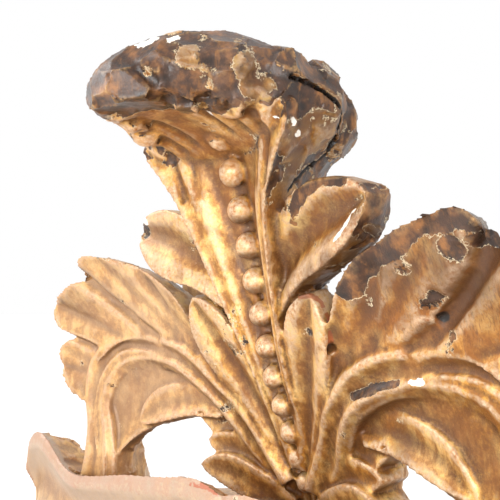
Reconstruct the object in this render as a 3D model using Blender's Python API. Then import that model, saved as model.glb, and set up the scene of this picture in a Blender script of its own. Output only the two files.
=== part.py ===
"""A carved giltwood pediment: an acanthus plume with a row of pearls up its midrib and a tip that rolls
forward, between two scrolled acanthus leaves, on a bowed rail whose ends turn up as horns.

The carving is one piece of wood. Each leaf, lobe and pearl is a closed form worked out on a grid, and the
forms are fused into one solid, then planed flat at the back and underneath."""

import bpy
import numpy as np

# Driving sizes, in metres. The front faces -Y, and the origin is in the middle of the underside.
CREST_HEIGHT = 0.275      # from the rail's crown to the top of the rolled tip
HALF_SPAN = 0.288         # from the middle to the outside of a horn
RAIL_CROWN = 0.086        # height of the rail's front edge near the middle
RAIL_FRONT = 0.060        # the rail's front face, forward of the origin
BACK_PLANE = 0.040        # the flat back, behind the origin
PEARL_FOOT = 0.0068       # radius of the lowest pearl
PEARL_HEAD = 0.0095       # radius of the highest pearl
PEARL_COUNT = 12

# The carving is drawn in units that are a millimetre at this size, so it keeps its proportions.
DRAWN_CREST = 275
DRAWN_CROWN = 86
DRAWN_BACK = 40
UNIT = CREST_HEIGHT / DRAWN_CREST

# How fine the fused surface is.
GRAIN = 0.0026            # voxel of the fused form
KEPT_SHARE = 0.048        # share of the fused faces that the solid keeps

# Leaf blades, root first, for the right side: rows of (across, forward-back, up, half-width, thickness),
# and for the plume how far its rims rise.
PLUME = [(0, 24, 50, 12, 40, 5), (0, 14, 76, 12, 40, 5), (0, 0, 111, 13, 40, 6), (0, -15, 150, 16, 42, 9),
         (0, -25, 190, 24, 42, 15), (0, -34, 228, 33, 42, 20), (0, -42, 256, 42, 50, 21),
         (0, -48, 277, 55, 62, 20), (0, -56, 296, 69, 68, 17), (0, -66, 310, 75, 62, 14),
         (0, -72, 320, 62, 46, 8)]
CORE = [(0, 28, 40, 42, 20), (0, 18, 100, 36, 26), (0, 3, 160, 30, 30), (0, -11, 210, 25, 26),
        (0, -22, 250, 26, 20)]
SIDE_LOBE = [(6, -24, 180, 9, 30), (22, -33, 202, 15, 30), (42, -40, 219, 19, 30), (65, -46, 232, 25, 30),
             (88, -50, 240, 27, 32), (109, -53, 246, 25, 30)]
UPRIGHT_LOBE = [(8, 2, 84, 8, 34), (20, -8, 118, 14, 34), (32, -20, 147, 19, 36), (43, -31, 169, 22, 34),
                (52, -39, 187, 22, 30), (57, -43, 197, 18, 26)]
PIT_WALL = [(34, 10, 126, 20, 30), (50, 4, 168, 24, 30), (62, 1, 207, 22, 24)]
STEM = [(16, 4, 78, 8, 40), (36, -5, 101, 8, 40), (47, -13, 119, 9, 38), (60, -19, 133, 9, 38),
        (82, -25, 149, 9, 36), (107, -28, 157, 9, 36), (138, -30, 160, 9, 36), (163, -36, 157, 9, 36),
        (181, -40, 144, 9, 36), (191, -42, 128, 9, 36), (193, -43, 110, 9, 36), (187, -43, 92, 9, 36),
        (185, -44, 70, 12, 40), (188, -44, 50, 14, 40)]
OUTER_RIDGE = [(10, -1, 74, 6, 30), (33, -11, 110, 7, 34), (41, -17, 124, 7, 34), (54, -24, 137, 8, 34),
               (72, -30, 153, 8, 34), (98, -33, 164, 8, 34), (133, -34, 168, 8, 34),
               (163, -40, 166, 8, 34), (184, -46, 156, 8, 34), (197, -48, 140, 8, 34),
               (201, -48, 120, 8, 34), (196, -48, 98, 8, 34), (197, -49, 75, 9, 34),
               (203, -50, 50, 10, 34)]
INNER_RIDGE = [(20, 4, 74, 6, 28), (39, -4, 93, 7, 28), (52, -15, 114, 7, 28), (65, -23, 130, 7, 28),
               (80, -27, 140, 7, 28), (95, -29, 147, 7, 28), (120, -30, 152, 7, 28),
               (143, -34, 152, 7, 28), (163, -38, 146, 7, 28), (177, -41, 132, 7, 28),
               (184, -43, 115, 7, 28), (179, -43, 92, 7, 28), (176, -43, 72, 8, 28), (178, -43, 50, 9, 28)]
BELOW_LOBES = {
    "curl": [(66, -8, 120, 9, 28), (96, -15, 122, 12, 30), (126, -22, 115, 13, 30), (148, -27, 102, 11, 28)],
    "upper": [(16, 10, 80, 9, 34), (42, 2, 96, 12, 34), (66, -6, 107, 12, 32), (88, -12, 113, 8, 28)],
    "middle": [(14, 10, 68, 9, 34), (36, 2, 82, 12, 34), (58, -5, 92, 12, 32), (80, -11, 95, 8, 28)],
    "lower": [(12, 10, 56, 9, 34), (36, 0, 69, 12, 34), (60, -8, 77, 12, 32), (84, -14, 77, 8, 28)],
}
FOOT = [(190, -38, 106, 10, 34), (189, -41, 88, 17, 38), (192, -43, 66, 21, 44), (200, -42, 38, 26, 54)]

# Leaf sheets: pairs of points, on the rib and on the margin, each (across, forward-back, up).
FAN = [((22, -6, 98), (40, -16, 130)), ((32, -10, 108), (54, -27, 158)), ((42, -14, 118), (66, -38, 181)),
       ((53, -18, 127), (80, -46, 202)), ((66, -22, 137), (102, -54, 217)),
       ((84, -25, 148), (134, -62, 227)), ((102, -27, 156), (166, -72, 228)),
       ((118, -30, 161), (178, -68, 214)), ((136, -34, 166), (204, -68, 207)),
       ((153, -38, 165), (229, -67, 194)), ((166, -42, 160), (226, -64, 176)),
       ((178, -45, 152), (211, -61, 167)), ((186, -45, 146), (225, -61, 157)),
       ((192, -46, 137), (227, -60, 142)), ((196, -46, 127), (217, -59, 127)),
       ((198, -46, 114), (203, -54, 114))]
FAN_VALLEYS = (7, 11)     # pairs that lie on a notch
FAN_VEINS = (4.4, 9, 13)
SCROLL_FACE = [((70, -18, 134), (78, -12, 112)), ((100, -25, 148), (98, -15, 108)),
               ((132, -32, 157), (118, -20, 103)), ((160, -38, 156), (136, -24, 97)),
               ((180, -42, 142), (150, -28, 90)), ((190, -44, 122), (160, -32, 82)),
               ((190, -45, 98), (168, -36, 72)), ((186, -46, 76), (172, -38, 58))]

# The rolled tip, from its back to its front: rows of (forward-back, half-width, top, underside).
ROLL = [(34, 16, 334, 304), (26, 30, 342, 288), (8, 43, 348, 268), (-12, 53, 350, 256),
        (-34, 59, 351, 258), (-58, 60, 352, 276), (-80, 58, 351, 286), (-102, 49, 347, 288),
        (-120, 39, 340, 288), (-134, 29, 331, 289), (-143, 19, 322, 292), (-147, 8, 314, 301)]
ROLL_HOLLOW = 0.5         # how much of the underside is hollowed out along the middle

# The lobes that hang from the tip's right edge, front to back: (across, forward-back, up, radius).
KNUCKLES = [(15, -122, 312, 13), (28, -106, 313, 16), (42, -87, 314, 19), (53, -62, 312, 21),
            (50, -35, 308, 23), (40, -11, 303, 22)]
KNUCKLE_DROP = 1.15       # how much taller than wide each one is

# The rail's upper edge and how far back it reaches, as (across, height, back) in drawing units.
RAIL = [(0, 80, 40), (16, 84, 40), (40, 84, 40), (61, 80, 40), (113, 72, 40), (171, 61, 40), (195, 58, 40),
        (215, 62, 20), (235, 72, -10), (250, 79, -24), (263, 82, -28), (274, 80, -30), (283, 72, -34),
        (288, 50, -38)]
RAIL_FALL = 26            # how far the rail's top slopes down to the back
RAIL_SWELLS = [(0, 0.3, 4), (0.3, 0.55, -9), (0.85, 0.15, 3)]   # its front's swells: start, length, depth
RAIL_BLOCK = 195          # half-length of the rail's full-depth part
OVERCUT = 0.030           # how far the forms run past the planed faces
LEAF_FLUTE = 2            # how deep the flutes, sags, valleys and veins are, and how thick the leaves
FAN_THICK, FAN_SAG = 32, 4
VALLEY_DEPTH, VEIN_DEPTH = 8, 3
FACE_THICK, FACE_SAG = 26, 5


def drawn(rows):
    """Drawing units to metres. Heights count from the rail's crown, and every size keeps its proportion."""
    rows = np.array(rows, float)
    rows[..., 2] -= DRAWN_CROWN
    rows = rows * UNIT
    rows[..., 2] += RAIL_CROWN
    return rows


def eased(rows, knots, at):
    """Rows read between the given ones by cubics whose slopes come from the neighbours."""
    slopes = np.gradient(rows, knots, axis=0)
    i = np.clip(np.searchsorted(knots, at, side="right") - 1, 0, len(knots) - 2)
    gap = (knots[i + 1] - knots[i]).reshape(-1, *[1] * (rows.ndim - 1))
    f = (at - knots[i]).reshape(gap.shape) / gap
    return (
        (2 * f**3 - 3 * f**2 + 1) * rows[i]
        + (f**3 - 2 * f**2 + f) * gap * slopes[i]
        + (3 * f**2 - 2 * f**3) * rows[i + 1]
        + (f**3 - f**2) * gap * slopes[i + 1]
    )


def along_line(rows, count):
    """Rows carried through the given ones, spaced by the length of the line that their points make."""
    steps = np.linalg.norm(np.diff(rows[:, :3], axis=0), axis=1)
    knots = np.concatenate([[0], np.cumsum(steps)]) / steps.sum()
    return eased(rows, knots, np.linspace(0, 1, count))


def unit_rows(vectors):
    return vectors / np.maximum(np.linalg.norm(vectors, axis=1, keepdims=True), 1e-12)


def closed_grid(rings):
    """Vertices and faces of rings joined in order, with a fan over each end."""
    count, size, _ = rings.shape
    points = np.concatenate([rings.reshape(-1, 3), rings[:1].mean(1), rings[-1:].mean(1)])
    i, j = np.meshgrid(np.arange(count - 1), np.arange(size), indexing="ij")
    k = (j + 1) % size
    sides = np.stack([i * size + j, i * size + k, (i + 1) * size + k, (i + 1) * size + j], -1).reshape(-1, 4)
    edge = np.arange(size)
    after = (edge + 1) % size
    root = np.stack([after, edge, np.full(size, count * size)], -1)
    end_row = (count - 1) * size
    end = np.stack([end_row + edge, end_row + after, np.full(size, count * size + 1)], -1)
    return points, sides.tolist() + root.tolist() + end.tolist()


def blade(rows, cup=0.0, flutes=0, flute_depth=0.0, round_from=0.6, slim_tip=0.5, along=26, across=22,
          turning=False):
    """A leaf blade: a cupped front and a full rounded back, carried from root to tip.

    The front rises to the rims by cup times the half-width, or by the rows' sixth number where they have
    one, as the squared sine of the way from the midline, with cosine flutes over it. The back is half of a
    squared-off ellipse. Width and thickness close in a circle's arc past round_from. The section stays
    square to the line from root to tip, or to the line itself if it is turning."""
    rows = along_line(drawn(rows), along)
    line = rows[:, :3]
    ahead = unit_rows(np.gradient(line, axis=0))
    if turning:
        side = np.stack([ahead[:, 2], np.zeros(along), -ahead[:, 0]], 1)
    else:
        chord = line[-1] - line[0]
        side = np.tile([chord[2], 0, -chord[0]], (along, 1))
    side = unit_rows(side - (side * ahead).sum(1, keepdims=True) * ahead)
    face = np.cross(side, ahead)
    ease = np.clip((np.linspace(0, 1, along) - round_from) / (1 - round_from), 0, 1)
    closing = np.sqrt(np.maximum(1 - ease**2, 0.0004))[:, None]
    half = rows[:, 3, None] * closing
    thickness = rows[:, 4, None] * (slim_tip + (1 - slim_tip) * closing)
    s = np.linspace(-1, 1, across)
    rim = rows[:, 5, None] * closing if rows.shape[1] > 5 else cup * half
    fluting = flute_depth * UNIT * closing * (0.5 + 0.5 * np.cos(np.pi * flutes * s))
    front = rim * np.sin(0.5 * np.pi * s) ** 2 - fluting
    angle = np.linspace(0, np.pi, across)[1:-1]
    back_s = np.sign(np.cos(angle)) * np.abs(np.cos(angle)) ** 0.6
    back = rim - (thickness + rim) * np.sin(angle) ** 0.7
    across_all = half * np.concatenate([s, back_s])
    lift = np.concatenate([front, back], 1)
    rings = line[:, None, :] + side[:, None, :] * across_all[..., None] + face[:, None, :] * lift[..., None]
    return closed_grid(rings)


def sheet(pairs, thickness, sag, valleys=(), valley_depth=0.0, veins=(), vein_depth=0.0, along=60, across=14):
    """A leaf spread between a rib and a scalloped margin.

    The front is ruled between the paired points and hollowed back by sag times the sine of pi v, where v
    runs from the rib to the margin. Valleys and veins are gaussian dips along given pairs, deeper towards
    the margin. The back lies one thickness behind, drawn in towards the rib at the margin."""
    pairs = drawn(pairs)
    knots = np.arange(len(pairs), dtype=float)
    at = np.linspace(0, knots[-1], along)
    both = eased(pairs, knots, at)
    rib, margin = both[:, 0], both[:, 1]
    v = np.linspace(0, 1, across)
    thickness, sag = thickness * UNIT, sag * UNIT
    dip = np.zeros(along)
    for lines, depth, width in ((valleys, valley_depth, 0.34), (veins, vein_depth, 0.28)):
        for line in lines:
            dip += depth * UNIT * np.exp(-(((at - line) / width) ** 2))
    behind = sag * np.sin(np.pi * v)[None, :] + dip[:, None] * (np.sin(0.5 * np.pi * v) ** 0.8)[None, :]
    front = rib[:, None, :] * (1 - v)[None, :, None] + margin[:, None, :] * v[None, :, None]
    front[:, :, 1] += behind
    w = np.concatenate([[0.99, 0.96], np.linspace(0.90, 0.0, across - 2)])
    deep = thickness * np.concatenate([[0.25, 0.5], 1 - 0.3 * np.linspace(1, 0, across - 2) ** 3])
    back = rib[:, None, :] * (1 - w)[None, :, None] + margin[:, None, :] * w[None, :, None]
    back[:, :, 1] += sag * np.sin(np.pi * w)[None, :] + deep[None, :]
    return closed_grid(np.concatenate([front, back], 1)[:, ::-1])


def rolled_tip(along=48, size=40):
    """The plume's tip, rolled forward: sections across it, square-shouldered, from its back to its front.

    The underside is hollowed by a parabola."""
    rows = np.array(ROLL, float)
    table = np.zeros((len(rows), 5))
    table[:, 1], table[:, 2], table[:, 3], table[:, 4] = rows[:, 0], rows[:, 2], rows[:, 1], rows[:, 3]
    low = table.copy()
    low[:, 2] = rows[:, 3]
    made, base = along_line(drawn(table), along), along_line(drawn(low), along)
    turn = np.linspace(0, 2 * np.pi, size, endpoint=False)
    across = np.sign(np.cos(turn)) * np.abs(np.cos(turn)) ** 0.88
    rise = np.sign(np.sin(turn)) * np.abs(np.sin(turn)) ** 0.88
    middle, tall = (made[:, 2] + base[:, 2]) / 2, (made[:, 2] - base[:, 2]) / 2
    under = np.where(rise < 0, 1 - ROLL_HOLLOW * (1 - across**2), 1)
    rings = np.stack(
        [
            made[:, 3, None] * across,
            np.repeat(made[:, 1, None], size, 1),
            middle[:, None] + tall[:, None] * rise * under,
        ],
        -1,
    )
    return closed_grid(rings[:, ::-1])


def ball(centre, radius, drop=1.0, rings=12, size=18):
    """A sphere by latitude and longitude, drop times as tall as it is wide."""
    turn = np.linspace(0, 2 * np.pi, size, endpoint=False)
    rise = np.linspace(-0.48 * np.pi, 0.48 * np.pi, rings)
    r, z = radius * np.cos(rise), drop * radius * np.sin(rise)
    shape = np.stack([r[:, None] * np.cos(turn), r[:, None] * np.sin(turn), np.repeat(z[:, None], size, 1)], -1)
    return closed_grid(shape + np.array(centre))


def pearls():
    """Pearls up the midrib, each a little larger than the one below and spaced by its size."""
    rib = along_line(drawn(PLUME[1:-2]), 400)[:, :3]
    length = np.concatenate([[0], np.cumsum(np.linalg.norm(np.diff(rib, axis=0), axis=1))])
    radius = np.linspace(PEARL_FOOT, PEARL_HEAD, PEARL_COUNT)
    at = np.concatenate([[0], np.cumsum(radius[:-1] + radius[1:])])
    at = at / at[-1] * length[-1]
    centres = np.stack([np.interp(at, length, rib[:, k]) for k in range(3)], 1)
    centres[:, 1] -= 0.5 * radius
    return [ball(c, r) for c, r in zip(centres, radius)]


def rail(along=93, size=20):
    """The bowed rail: a moulded section whose height and depth change across it, sloping down to the back."""
    rows = np.array(RAIL, float)
    knots = rows[:, 0] / rows[-1, 0] * HALF_SPAN
    x = np.linspace(-HALF_SPAN, HALF_SPAN, along)
    made = eased(rows[:, 1:], knots, np.abs(x))
    top = made[:, 0] / DRAWN_CROWN * RAIL_CROWN
    block = np.abs(x) < RAIL_BLOCK / rows[-1, 0] * HALF_SPAN
    back = np.where(block, BACK_PLANE + OVERCUT, made[:, 1] / DRAWN_BACK * BACK_PLANE)
    v = np.linspace(0, 1, size)
    swell = np.zeros(size)
    for start, length, depth in RAIL_SWELLS:
        swell += depth * UNIT * np.sin(np.pi * np.clip((v - start) / length, 0, 1))
    rise = -OVERCUT + v[None, :] * (top[:, None] + OVERCUT)
    front = np.stack([np.repeat(x[:, None], size, 1), np.repeat(-RAIL_FRONT - swell[None, :], along, 0), rise], -1)
    u = np.linspace(0, 1, size)[1:]
    deep = back[:, None] + RAIL_FRONT
    y = -RAIL_FRONT + u * deep
    slope = np.sin(0.5 * np.pi * np.clip(u * deep / RAIL_FRONT, 0, 1))
    fall = RAIL_FALL * UNIT * np.minimum(deep / RAIL_FRONT, 1) * slope
    over = np.stack([np.repeat(x[:, None], len(u), 1), y, top[:, None] - fall], -1)
    low = np.stack([x, back, np.full(along, -OVERCUT)], -1)[:, None, :]
    return closed_grid(np.concatenate([front, over, low], 1))


def mirrored(form):
    """The same form on the left side, with its faces turned to point outwards again."""
    points, faces = form
    return points * np.array([-1, 1, 1]), [face[::-1] for face in faces]


def side_forms():
    """Every form of the right side."""
    forms = [
        blade(SIDE_LOBE, 0.4, flutes=2, flute_depth=LEAF_FLUTE, round_from=0.5, along=36),
        blade(UPRIGHT_LOBE, 0.2, flutes=2, flute_depth=LEAF_FLUTE, round_from=0.55, along=36),
        blade(PIT_WALL),
        blade(STEM, round_from=0.97, along=70, turning=True),
        blade(OUTER_RIDGE, -0.6, round_from=0.97, along=70, turning=True),
        blade(INNER_RIDGE, -0.6, round_from=0.97, along=70, turning=True),
        blade(FOOT, -0.15, round_from=0.95),
        sheet(FAN, FAN_THICK, FAN_SAG, FAN_VALLEYS, VALLEY_DEPTH, FAN_VEINS, VEIN_DEPTH, along=90),
        sheet(SCROLL_FACE, FACE_THICK, FACE_SAG),
    ]
    for across, forward, up, radius in KNUCKLES:
        forms.append(ball(drawn([across, forward, up]), radius * UNIT, KNUCKLE_DROP))
    return forms + [blade(rows, 0.25) for rows in BELOW_LOBES.values()]


def middle_forms():
    """The plume, the core behind it, its rolled tip, the pearls and the rail."""
    plume = blade(PLUME, flutes=5, flute_depth=LEAF_FLUTE, round_from=0.92, slim_tip=0.8, along=50, across=40)
    return [plume, blade(CORE), rolled_tip(), rail()] + pearls()


def joined_mesh(forms, name):
    """All forms as one mesh of overlapping closed shells."""
    points, faces, base = [], [], 0
    for form_points, form_faces in forms:
        points.append(form_points)
        faces += [[base + corner for corner in face] for face in form_faces]
        base += len(form_points)
    mesh = bpy.data.meshes.new(name)
    mesh.from_pydata(np.concatenate(points).tolist(), [], faces)
    mesh.update()
    return mesh


def block(name, low, high):
    """A plain box between two corners."""
    corners = [(x, y, z) for x in (low[0], high[0]) for y in (low[1], high[1]) for z in (low[2], high[2])]
    faces = [(0, 1, 3, 2), (4, 6, 7, 5), (0, 4, 5, 1), (2, 3, 7, 6), (0, 2, 6, 4), (1, 5, 7, 3)]
    mesh = bpy.data.meshes.new(name)
    mesh.from_pydata(corners, [], faces)
    box = bpy.data.objects.new(name, mesh)
    bpy.context.collection.objects.link(box)
    box.hide_render = True
    box.display_type = "WIRE"
    return box


def gilded_wood():
    material = bpy.data.materials.new("gilded_wood")
    material.use_nodes = True
    shader = material.node_tree.nodes["Principled BSDF"]
    shader.inputs["Base Color"].default_value = (0.50, 0.29, 0.10, 1)
    shader.inputs["Roughness"].default_value = 0.45
    shader.inputs["Metallic"].default_value = 0.6
    return material


def main():
    for old in list(bpy.data.objects):
        bpy.data.objects.remove(old)
    sides = side_forms()
    forms = middle_forms() + sides + [mirrored(form) for form in sides]
    carving = bpy.data.objects.new("carved_pediment", joined_mesh(forms, "carved_pediment"))
    bpy.context.collection.objects.link(carving)
    carving.data.materials.append(gilded_wood())
    fuse = carving.modifiers.new("fuse", "REMESH")
    fuse.mode = "VOXEL"
    fuse.voxel_size = GRAIN
    thin = carving.modifiers.new("thin", "DECIMATE")
    thin.ratio = KEPT_SHARE
    # Everything behind the back plane and under the rail is planed off.
    far = HALF_SPAN + OVERCUT
    top = RAIL_CROWN + CREST_HEIGHT + OVERCUT
    kept = block("planed_space", (-far, -far, 0), (far, BACK_PLANE, top))
    plane = carving.modifiers.new("plane_flat", "BOOLEAN")
    plane.operation = "INTERSECT"
    plane.object = kept
    plane.solver = "EXACT"
    return carving


main()
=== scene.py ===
"""The carved giltwood pediment as it looks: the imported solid's form at full relief, with the carver's gouge
marks, the chips and the open joint cut into the mesh, and one worn water-gilt finish over it."""

import bmesh
import bpy
import numpy as np
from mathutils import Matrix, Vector


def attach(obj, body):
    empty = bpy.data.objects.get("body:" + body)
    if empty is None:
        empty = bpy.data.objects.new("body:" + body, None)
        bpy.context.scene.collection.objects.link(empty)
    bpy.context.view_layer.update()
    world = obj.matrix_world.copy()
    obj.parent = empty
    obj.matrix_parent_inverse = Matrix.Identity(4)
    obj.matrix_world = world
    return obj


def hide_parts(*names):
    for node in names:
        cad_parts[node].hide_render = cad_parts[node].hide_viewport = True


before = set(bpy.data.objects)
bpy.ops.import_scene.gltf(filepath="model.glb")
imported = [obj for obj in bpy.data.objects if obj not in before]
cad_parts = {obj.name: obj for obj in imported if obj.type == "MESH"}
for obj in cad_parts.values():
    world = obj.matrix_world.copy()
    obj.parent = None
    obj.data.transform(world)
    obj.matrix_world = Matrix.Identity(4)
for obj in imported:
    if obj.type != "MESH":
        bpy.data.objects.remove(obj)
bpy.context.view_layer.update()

# Driving sizes, in metres. The front faces -Y, and the origin is in the middle of the underside.
CREST_HEIGHT = 0.275      # from the rail's crown to the top of the rolled tip
HALF_SPAN = 0.288         # from the middle to the outside of a horn
RAIL_CROWN = 0.086        # height of the rail's front edge near the middle
RAIL_FRONT = 0.060        # the rail's front face, forward of the origin
BACK_PLANE = 0.040        # the flat back, behind the origin
PEARL_FOOT = 0.0068       # radius of the lowest pearl
PEARL_HEAD = 0.0095       # radius of the highest pearl
PEARL_COUNT = 12

# The carving is drawn in units that are a millimetre at this size, so it keeps its proportions.
DRAWN_CREST = 275
DRAWN_CROWN = 86
DRAWN_BACK = 40
UNIT = CREST_HEIGHT / DRAWN_CREST

# Leaf blades, root first, for the right side: rows of (across, forward-back, up, half-width, thickness),
# and for the plume how far its rims rise.
PLUME = [(0, 24, 50, 12, 40, 5), (0, 14, 76, 12, 40, 5), (0, 0, 111, 13, 40, 6), (0, -15, 150, 16, 42, 9),
         (0, -25, 190, 24, 42, 15), (0, -34, 228, 33, 42, 20), (0, -42, 256, 42, 50, 21),
         (0, -48, 277, 55, 62, 20), (0, -56, 296, 69, 68, 17), (0, -66, 310, 75, 62, 14),
         (0, -72, 320, 62, 46, 8)]
CORE = [(0, 28, 40, 42, 20), (0, 18, 100, 36, 26), (0, 3, 160, 30, 30), (0, -11, 210, 25, 26),
        (0, -22, 250, 26, 20)]
SIDE_LOBE = [(6, -24, 180, 9, 30), (22, -33, 202, 15, 30), (42, -40, 219, 19, 30), (65, -46, 232, 25, 30),
             (88, -50, 240, 27, 32), (109, -53, 246, 25, 30)]
UPRIGHT_LOBE = [(8, 2, 84, 8, 34), (20, -8, 118, 14, 34), (32, -20, 147, 19, 36), (43, -31, 169, 22, 34),
                (52, -39, 187, 22, 30), (57, -43, 197, 18, 26)]
PIT_WALL = [(34, 10, 126, 20, 30), (50, 4, 168, 24, 30), (62, 1, 207, 22, 24)]
STEM = [(16, 4, 78, 8, 40), (36, -5, 101, 8, 40), (47, -13, 119, 9, 38), (60, -19, 133, 9, 38),
        (82, -25, 149, 9, 36), (107, -28, 157, 9, 36), (138, -30, 160, 9, 36), (163, -36, 157, 9, 36),
        (181, -40, 144, 9, 36), (191, -42, 128, 9, 36), (193, -43, 110, 9, 36), (187, -43, 92, 9, 36),
        (185, -44, 70, 12, 40), (188, -44, 50, 14, 40)]
OUTER_RIDGE = [(10, -1, 74, 6, 30), (33, -11, 110, 7, 34), (41, -17, 124, 7, 34), (54, -24, 137, 8, 34),
               (72, -30, 153, 8, 34), (98, -33, 164, 8, 34), (133, -34, 168, 8, 34),
               (163, -40, 166, 8, 34), (184, -46, 156, 8, 34), (197, -48, 140, 8, 34),
               (201, -48, 120, 8, 34), (196, -48, 98, 8, 34), (197, -49, 75, 9, 34),
               (203, -50, 50, 10, 34)]
INNER_RIDGE = [(20, 4, 74, 6, 28), (39, -4, 93, 7, 28), (52, -15, 114, 7, 28), (65, -23, 130, 7, 28),
               (80, -27, 140, 7, 28), (95, -29, 147, 7, 28), (120, -30, 152, 7, 28),
               (143, -34, 152, 7, 28), (163, -38, 146, 7, 28), (177, -41, 132, 7, 28),
               (184, -43, 115, 7, 28), (179, -43, 92, 7, 28), (176, -43, 72, 8, 28), (178, -43, 50, 9, 28)]
BELOW_LOBES = {
    "curl": [(66, -8, 120, 9, 28), (96, -15, 122, 12, 30), (126, -22, 115, 13, 30),
             (148, -27, 102, 11, 28)],
    "upper": [(16, 10, 80, 9, 34), (42, 2, 96, 12, 34), (66, -6, 107, 12, 32), (88, -12, 113, 8, 28)],
    "middle": [(14, 10, 68, 9, 34), (36, 2, 82, 12, 34), (58, -5, 92, 12, 32), (80, -11, 95, 8, 28)],
    "lower": [(12, 10, 56, 9, 34), (36, 0, 69, 12, 34), (60, -8, 77, 12, 32), (84, -14, 77, 8, 28)],
}
FOOT = [(190, -38, 106, 10, 34), (189, -41, 88, 17, 38), (192, -43, 66, 21, 44), (200, -42, 38, 26, 54)]

# Leaf sheets: pairs of points, on the rib and on the margin, each (across, forward-back, up).
FAN = [((22, -6, 98), (40, -16, 130)), ((32, -10, 108), (54, -27, 158)), ((42, -14, 118), (66, -38, 181)),
       ((53, -18, 127), (80, -46, 202)), ((66, -22, 137), (102, -54, 217)),
       ((84, -25, 148), (134, -62, 227)), ((102, -27, 156), (171, -71, 231)),
       ((118, -30, 161), (184, -68, 215)), ((136, -34, 166), (204, -68, 207)),
       ((153, -38, 165), (229, -67, 194)), ((166, -42, 160), (226, -64, 176)),
       ((178, -45, 152), (211, -61, 167)), ((186, -45, 146), (225, -61, 157)),
       ((192, -46, 137), (227, -60, 142)), ((196, -46, 127), (217, -59, 127)),
       ((198, -46, 114), (203, -54, 114))]
FAN_VALLEYS = (7, 11)     # pairs that lie on a notch
FAN_VEINS = (4.4, 9, 13)
SCROLL_FACE = [((70, -18, 134), (78, -12, 112)), ((100, -25, 148), (98, -15, 108)),
               ((132, -32, 157), (118, -20, 103)), ((160, -38, 156), (136, -24, 97)),
               ((180, -42, 142), (150, -28, 90)), ((190, -44, 122), (160, -32, 82)),
               ((190, -45, 98), (168, -36, 72)), ((186, -46, 76), (172, -38, 58))]

# The rolled tip, from its back to its front: rows of (forward-back, half-width, top, underside).
ROLL = [(34, 16, 334, 304), (26, 30, 342, 288), (8, 43, 348, 268), (-12, 53, 350, 256),
        (-34, 59, 351, 258), (-58, 60, 352, 276), (-80, 58, 351, 286), (-102, 49, 347, 288),
        (-120, 39, 340, 288), (-134, 29, 331, 289), (-143, 19, 322, 292), (-147, 8, 314, 301)]
ROLL_HOLLOW = 0.5         # how much of the underside is hollowed out along the middle

# The lobes that hang from the tip's right edge, front to back: (across, forward-back, up, radius).
KNUCKLES = [(15, -122, 312, 13), (28, -106, 313, 16), (42, -87, 314, 19), (53, -62, 312, 21),
            (50, -35, 308, 23), (40, -11, 303, 22)]
KNUCKLE_DROP = 1.15       # how much taller than wide each one is

# The rail's upper edge and how far back it reaches, as (across, height, back) in drawing units.
RAIL = [(0, 80, 40), (16, 84, 40), (40, 84, 40), (61, 80, 40), (113, 72, 40), (171, 61, 40), (195, 58, 40),
        (215, 62, 20), (235, 72, -10), (250, 79, -24), (263, 82, -28), (274, 80, -30), (283, 72, -34),
        (288, 50, -38)]
RAIL_FALL = 26            # how far the rail's top slopes down to the back
RAIL_SWELLS = [(0, 0.3, 4), (0.3, 0.55, -9), (0.85, 0.15, 3)]   # its front's swells: start, length, depth
RAIL_BLOCK = 195          # half-length of the rail's full-depth part
OVERCUT = 0.030           # how far the forms run past the planed faces
LEAF_FLUTE = 2            # how deep the flutes, sags, valleys and veins are, and how thick the leaves
FAN_THICK, FAN_SAG = 32, 4
VALLEY_DEPTH, VEIN_DEPTH = 8, 3
FACE_THICK, FACE_SAG = 26, 5


def drawn(rows):
    """Drawing units to metres. Heights count from the rail's crown, and every size keeps its proportion."""
    rows = np.array(rows, float)
    rows[..., 2] -= DRAWN_CROWN
    rows = rows * UNIT
    rows[..., 2] += RAIL_CROWN
    return rows


def eased(rows, knots, at):
    """Rows read between the given ones by cubics whose slopes come from the neighbours."""
    slopes = np.gradient(rows, knots, axis=0)
    i = np.clip(np.searchsorted(knots, at, side="right") - 1, 0, len(knots) - 2)
    gap = (knots[i + 1] - knots[i]).reshape(-1, *[1] * (rows.ndim - 1))
    f = (at - knots[i]).reshape(gap.shape) / gap
    return (
        (2 * f**3 - 3 * f**2 + 1) * rows[i]
        + (f**3 - 2 * f**2 + f) * gap * slopes[i]
        + (3 * f**2 - 2 * f**3) * rows[i + 1]
        + (f**3 - f**2) * gap * slopes[i + 1]
    )


def along_line(rows, count):
    """Rows carried through the given ones, spaced by the length of the line that their points make."""
    steps = np.linalg.norm(np.diff(rows[:, :3], axis=0), axis=1)
    knots = np.concatenate([[0], np.cumsum(steps)]) / steps.sum()
    return eased(rows, knots, np.linspace(0, 1, count))


def unit_rows(vectors):
    """Each row at length 1."""
    return vectors / np.maximum(np.linalg.norm(vectors, axis=1, keepdims=True), 1e-12)


def closed_grid(rings):
    """Vertices and faces of rings joined in order, with a fan over each end."""
    count, size, _ = rings.shape
    points = np.concatenate([rings.reshape(-1, 3), rings[:1].mean(1), rings[-1:].mean(1)])
    i, j = np.meshgrid(np.arange(count - 1), np.arange(size), indexing="ij")
    k = (j + 1) % size
    sides = np.stack([i * size + j, i * size + k, (i + 1) * size + k, (i + 1) * size + j], -1)
    sides = sides.reshape(-1, 4)
    edge = np.arange(size)
    after = (edge + 1) % size
    root = np.stack([after, edge, np.full(size, count * size)], -1)
    end_row = (count - 1) * size
    end = np.stack([end_row + edge, end_row + after, np.full(size, count * size + 1)], -1)
    return points, sides.tolist() + root.tolist() + end.tolist()


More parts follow.
